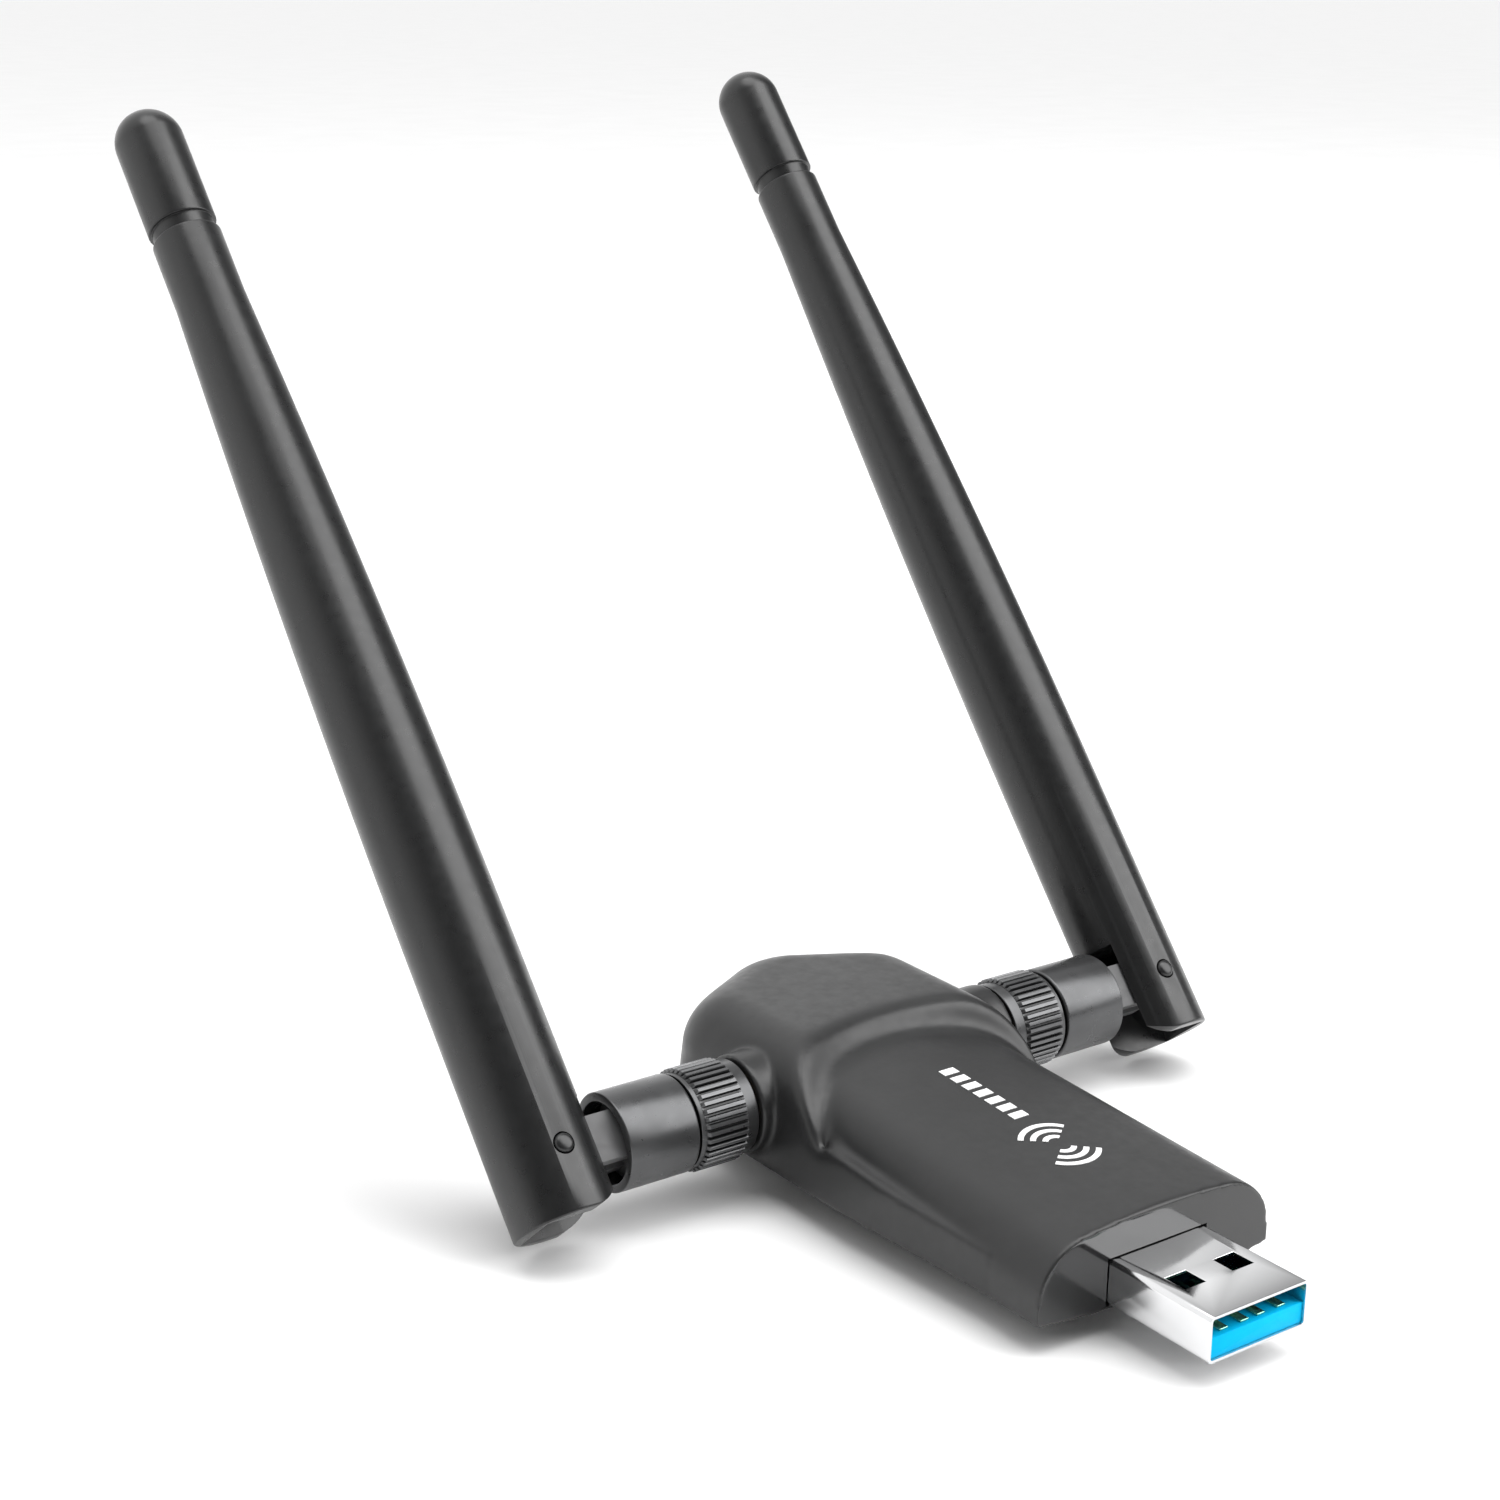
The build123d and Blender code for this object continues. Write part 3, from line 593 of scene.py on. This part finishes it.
# ======== antennas
def tooth_drop(angle, radius, height):
    """Depth of the knurl's narrow grooves between flat-topped teeth, on the knurled band only."""
    if radius < KNURL_RADIUS - KNURL_MARGIN:
        return 0.0
    wave = math.cos(KNURL_TEETH * angle)
    return KNURL_DEPTH * min(1.0, max(0.0, GROOVE_OFFSET - GROOVE_STEEPNESS * wave))


def make_collar(side):
    outline = [
        (COLLAR_BORE, COLLAR_START, 0.1),
        (COLLAR_RING_RADIUS, COLLAR_START, 0.18),
        (COLLAR_RING_RADIUS, KNURL_START, 0.05),
        (KNURL_RADIUS - KNURL_DEPTH + KNURL_MARGIN, KNURL_START, 0.0),
        (KNURL_RADIUS, KNURL_START + KNURL_CHAMFER, 0.0),
        (KNURL_RADIUS, KNURL_END - KNURL_CHAMFER, 0.0),
        (KNURL_RADIUS - KNURL_DEPTH + KNURL_MARGIN, KNURL_END, 0.0),
        (COLLAR_RING_RADIUS, KNURL_END, 0.05),
        (COLLAR_RING_RADIUS, COLLAR_END, 0.12),
        (NECK_HOLE, COLLAR_END, 0.1),
        (NECK_HOLE, COLLAR_LIP, 0.05),
        (COLLAR_BORE, COLLAR_LIP, 0.05),
    ]
    bm = turned(rounded(outline, 0.1), POINTS_PER_TOOTH * KNURL_TEETH, tooth_drop)
    piece = placed(object_from(bm, f"{side}_collar"), along_x(side))
    return finished(piece, f"{side}_collar", "gunmetal", f"{side}_knurled_collar", gunmetal, angle=24)


def make_sleeve(side):
    outline = [
        (NECK_HOLE, SLEEVE_START, 0.1),
        (SLEEVE_RADIUS, SLEEVE_START, 0.3),
        (SLEEVE_RADIUS, SLEEVE_END, 0.16),
        (SLEEVE_BORE, SLEEVE_END, 0.1),
        (SLEEVE_BORE, SLEEVE_START + SLEEVE_WEB, 0.15),
        (NECK_HOLE, SLEEVE_START + SLEEVE_WEB, 0.1),
    ]
    bm = turned(rounded(outline, 0.1, 4), 160)
    piece = placed(object_from(bm, f"{side}_sleeve"), along_x(side))
    return finished(piece, f"{side}_swivel_base", "gunmetal", f"{side}_swivel_sleeve", gunmetal)


def whip_matrix(side):
    """Places the whip's own axes, X outwards, Y along the pins and Z along the whip, at its pivot."""
    fold = joints[f"{side}_fold"]
    out = Vector(joints[f"{side}_swivel"]["axis"])
    pins = Vector(fold["axis"]).normalized()
    axes = Matrix((out, pins, out.cross(pins))).transposed().to_4x4()
    return Matrix.Translation(Vector(fold["pos_m"]) / MM) @ axes


def taper(thinner, steps=28):
    """Radius and height along the whip's curved taper, thinner all round."""
    low = Vector((WHIP_BASE_RADIUS - thinner, WHIP_STRAIGHT))
    held_to = WHIP_STRAIGHT + WHIP_TAPER_HOLD * (WHIP_TAPER_END - WHIP_STRAIGHT)
    hold = Vector((WHIP_BASE_RADIUS - thinner, held_to))
    high = Vector((WHIP_TIP_RADIUS - thinner, WHIP_TAPER_END))
    shares = [k / steps for k in range(steps + 1)]
    return [(*((1 - t) ** 2 * low + 2 * t * (1 - t) * hold + t**2 * high), 0) for t in shares]


def make_whip(side):
    outline = [(LEAD_HOLE, WHIP_LOW, 0), (WHIP_BASE_RADIUS, WHIP_LOW, 0.25)]
    outline += taper(0)
    outline += [(WHIP_TIP_RADIUS, WHIP_END, 0.22), (WHIP_TIP_RADIUS - WHIP_WALL, WHIP_END, 0.1)]
    outline += list(reversed(taper(WHIP_WALL)))
    outline += [(WHIP_BASE_RADIUS - WHIP_WALL, WHIP_CAVITY, 0.1), (LEAD_HOLE, WHIP_CAVITY, 0)]
    whip = object_from(turned(rounded(outline, 0.2, 4), 144), f"{side}_whip")
    reach = WHIP_BASE_RADIUS + CUT_PAST
    below = WHIP_LOW - CUT_PAST
    across = Matrix.Rotation(-math.pi / 2, 4, "X")
    channel = bmesh.new()
    add_box(channel, (-reach, -CHANNEL_HALF_WIDTH, below), (CHANNEL_X, CHANNEL_HALF_WIDTH, CHANNEL_TOP))
    corner = bmesh.new()
    add_box(corner, (-reach, -reach, below), (0, reach, 0))
    sweep = bmesh.new()
    add_rod(sweep, EAR_SWEEP, -reach - CUT_PAST, reach + CUT_PAST, across, 160)
    pin_hole = bmesh.new()
    add_rod(pin_hole, PIN_RADIUS + PIN_HOLE_GAP, -reach, reach, across, 64)
    ear_cutter = cut(object_from(corner, "ear_cutter"), object_from(sweep, "sweep_cutter"))
    cut(whip, object_from(channel, "channel_cutter"), ear_cutter, object_from(pin_hole, "pin_cutter"))
    applied(
        whip, "BEVEL", width=0.14, segments=2, limit_method="ANGLE", angle_limit=math.radians(38),
        use_clamp_overlap=True,
    )
    placed(whip, whip_matrix(side))
    return finished(whip, f"{side}_whip", "antenna_plastic", f"{side}_whip_tube", antenna_plastic)


def make_cap(side):
    dome_start = CAP_TIP - CAP_RADIUS
    neck_top = WHIP_END + NECK_LENGTH
    outline = [
        (ROD_HOLE, SPIGOT_START, 0),
        (SPIGOT_RADIUS, SPIGOT_START, 0.1),
        (SPIGOT_RADIUS, WHIP_END, 0),
        (NECK_RADIUS, WHIP_END, 0.05),
        (NECK_RADIUS, neck_top, 0.1),
        (CAP_RADIUS, neck_top, 0.22),
    ]
    arc = [math.pi / 2 * k / 20 for k in range(21)]
    outline += [(CAP_RADIUS * math.cos(t), dome_start + CAP_RADIUS * math.sin(t), 0) for t in arc[:-1]]
    hole_end = SPIGOT_START + ROD_HOLE_DEPTH
    outline += [(0, CAP_TIP, 0), (0, hole_end, 0), (ROD_HOLE, hole_end, 0)]
    piece = object_from(turned(rounded(outline, 0.1, 4), 128), f"{side}_cap")
    placed(piece, whip_matrix(side))
    return finished(piece, f"{side}_whip", "antenna_plastic", f"{side}_whip_cap", antenna_plastic)


def pin_inner_end(side):
    """Distance of the CAD pins' inner end from the whip's axis, along the pin axis."""
    inverse = whip_matrix(side).inverted() @ Matrix.Scale(1 / MM, 4)
    return min(abs((inverse @ v.co).y) for v in nodes[f"{side}_pivot_pins"].data.vertices)


def make_pins(side):
    """The two pivot pins, each with a domed head standing just proud of the whip."""
    bm = bmesh.new()
    head = WHIP_BASE_RADIUS + PIN_RISE
    inner = pin_inner_end(side)
    outline = [(0, inner, 0), (PIN_RADIUS, inner, 0.1), (PIN_RADIUS, WHIP_BASE_RADIUS - PIN_SHOULDER_DROP, 0)]
    outline += [(share * PIN_RADIUS, head - drop, 0) for share, drop in PIN_DOME]
    outline += [(0, head, 0)]
    for sign in (-1, 1):
        part = turned(rounded(outline, 0.1, 3), 64)
        bmesh.ops.transform(part, matrix=Matrix.Rotation(-sign * math.pi / 2, 4, "X"), verts=part.verts)
        mesh = bpy.data.meshes.new("pin")
        part.to_mesh(mesh)
        part.free()
        bm.from_mesh(mesh)
    piece = placed(object_from(bm, f"{side}_pins"), whip_matrix(side))
    return finished(piece, f"{side}_whip", "gunmetal", f"{side}_pivot_pins", antenna_plastic, angle=50)


make_housing()
refined("usb_plug_shell", "plug_shell", "adapter", "plug_steel", plug_steel, 0.05)
refined("usb_plug_insulator", "plug_insulator_block", "adapter", "plug_blue", blue_with_painted_shade(), 0.05)
refined("usb2_contacts", "plug_contacts", "adapter", "gold_contact", contact_metal, 0.06)
for side in SIDES:
    make_collar(side)
    make_sleeve(side)
    make_whip(side)
    make_cap(side)
    make_pins(side)
    refined(f"{side}_hinge_fork", f"{side}_fork", f"{side}_swivel_base", "antenna_plastic", rubbed_grey, 0.12)


# ======== camera, light and floor
def make_camera():
    a, e, r = (math.radians(v) for v in (CAMERA_AZIMUTH, CAMERA_ELEVATION, CAMERA_ROLL))
    back = Vector((math.sin(a) * math.cos(e), -math.cos(a) * math.cos(e), math.sin(e)))
    right = Vector((math.cos(a), math.sin(a), 0))
    up = back.cross(right)
    tilted_right = math.cos(r) * right + math.sin(r) * up
    tilted_up = math.cos(r) * up - math.sin(r) * right
    data = bpy.data.cameras.new("camera")
    data.lens = CAMERA_LENS
    data.sensor_width = SENSOR_WIDTH
    data.clip_start = 0.01
    data.clip_end = 100
    camera = bpy.data.objects.new("camera", data)
    bpy.context.scene.collection.objects.link(camera)
    axes = Matrix((tilted_right, tilted_up, back)).transposed().to_4x4()
    camera.matrix_world = Matrix.Translation(Vector(CAMERA_PLACE) * MM) @ axes
    bpy.context.scene.camera = camera


def make_floor(level):
    """Pale matt floor, built in metres."""
    bm = bmesh.new()
    bmesh.ops.create_grid(bm, x_segments=8, y_segments=8, size=FLOOR_SIZE)
    floor = object_from(bm, "floor")
    floor.location.z = level
    material, tree, shader, place = new_material("floor_paper")
    tree.links.new(
        mixed(tree, ranged(tree, noise(tree, place, 30), 0, 1), (0.90, 0.90, 0.90), (0.92, 0.92, 0.92)),
        shader.inputs["Base Color"],
    )
    shader.inputs["Roughness"].default_value = 0.9
    shader.inputs["Specular IOR Level"].default_value = 0.0
    floor.data.materials.append(material)


def make_softbox(aim):
    """Rectangular area light that faces aim."""
    data = bpy.data.lights.new("key", "AREA")
    data.shape = "RECTANGLE"
    data.size, data.size_y = KEY_SIZE
    data.energy = KEY_POWER
    light = bpy.data.objects.new("key", data)
    bpy.context.scene.collection.objects.link(light)
    direction = Vector(KEY_DIRECTION).normalized()
    light.location = aim + KEY_DISTANCE * direction
    light.rotation_euler = direction.to_track_quat("Z", "Y").to_euler()


def make_sun():
    """Very wide light straight overhead, for an even floor with soft shadows."""
    data = bpy.data.lights.new("sun", "SUN")
    data.energy = SUN_POWER
    data.angle = math.radians(SUN_ANGLE)
    light = bpy.data.objects.new("sun", data)
    bpy.context.scene.collection.objects.link(light)


def make_world():
    """Surroundings that light the object from behind, dim on the camera's side, and plain white in view."""
    world = bpy.data.worlds.new("studio")
    bpy.context.scene.world = world
    world.use_nodes = True
    tree = world.node_tree
    background = tree.nodes["Background"]
    place = tree.nodes.new("ShaderNodeTexCoord").outputs["Generated"]
    turn = tree.nodes.new("ShaderNodeVectorMath")
    turn.operation = "DOT_PRODUCT"
    tree.links.new(place, turn.inputs[0])
    turn.inputs[1].default_value = WORLD_BRIGHT_SIDE
    level = ranged(tree, turn.outputs["Value"], WORLD_DIM, WORLD_BRIGHT, WORLD_DIM_TO, WORLD_BRIGHT_FROM)
    path = tree.nodes.new("ShaderNodeLightPath")
    pick = tree.nodes.new("ShaderNodeMix")
    tree.links.new(path.outputs["Is Camera Ray"], pick.inputs["Factor"])
    tree.links.new(level, pick.inputs["A"])
    pick.inputs["B"].default_value = 1.0
    background.inputs["Color"].default_value = (1, 1, 1, 1)
    tree.links.new(pick.outputs["Result"], background.inputs["Strength"])


make_camera()
low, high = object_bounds()
make_floor(low.z - FLOOR_GAP)
make_world()
make_softbox((low + high) / 2)
make_sun()
bpy.context.scene.view_settings.view_transform = "Standard"
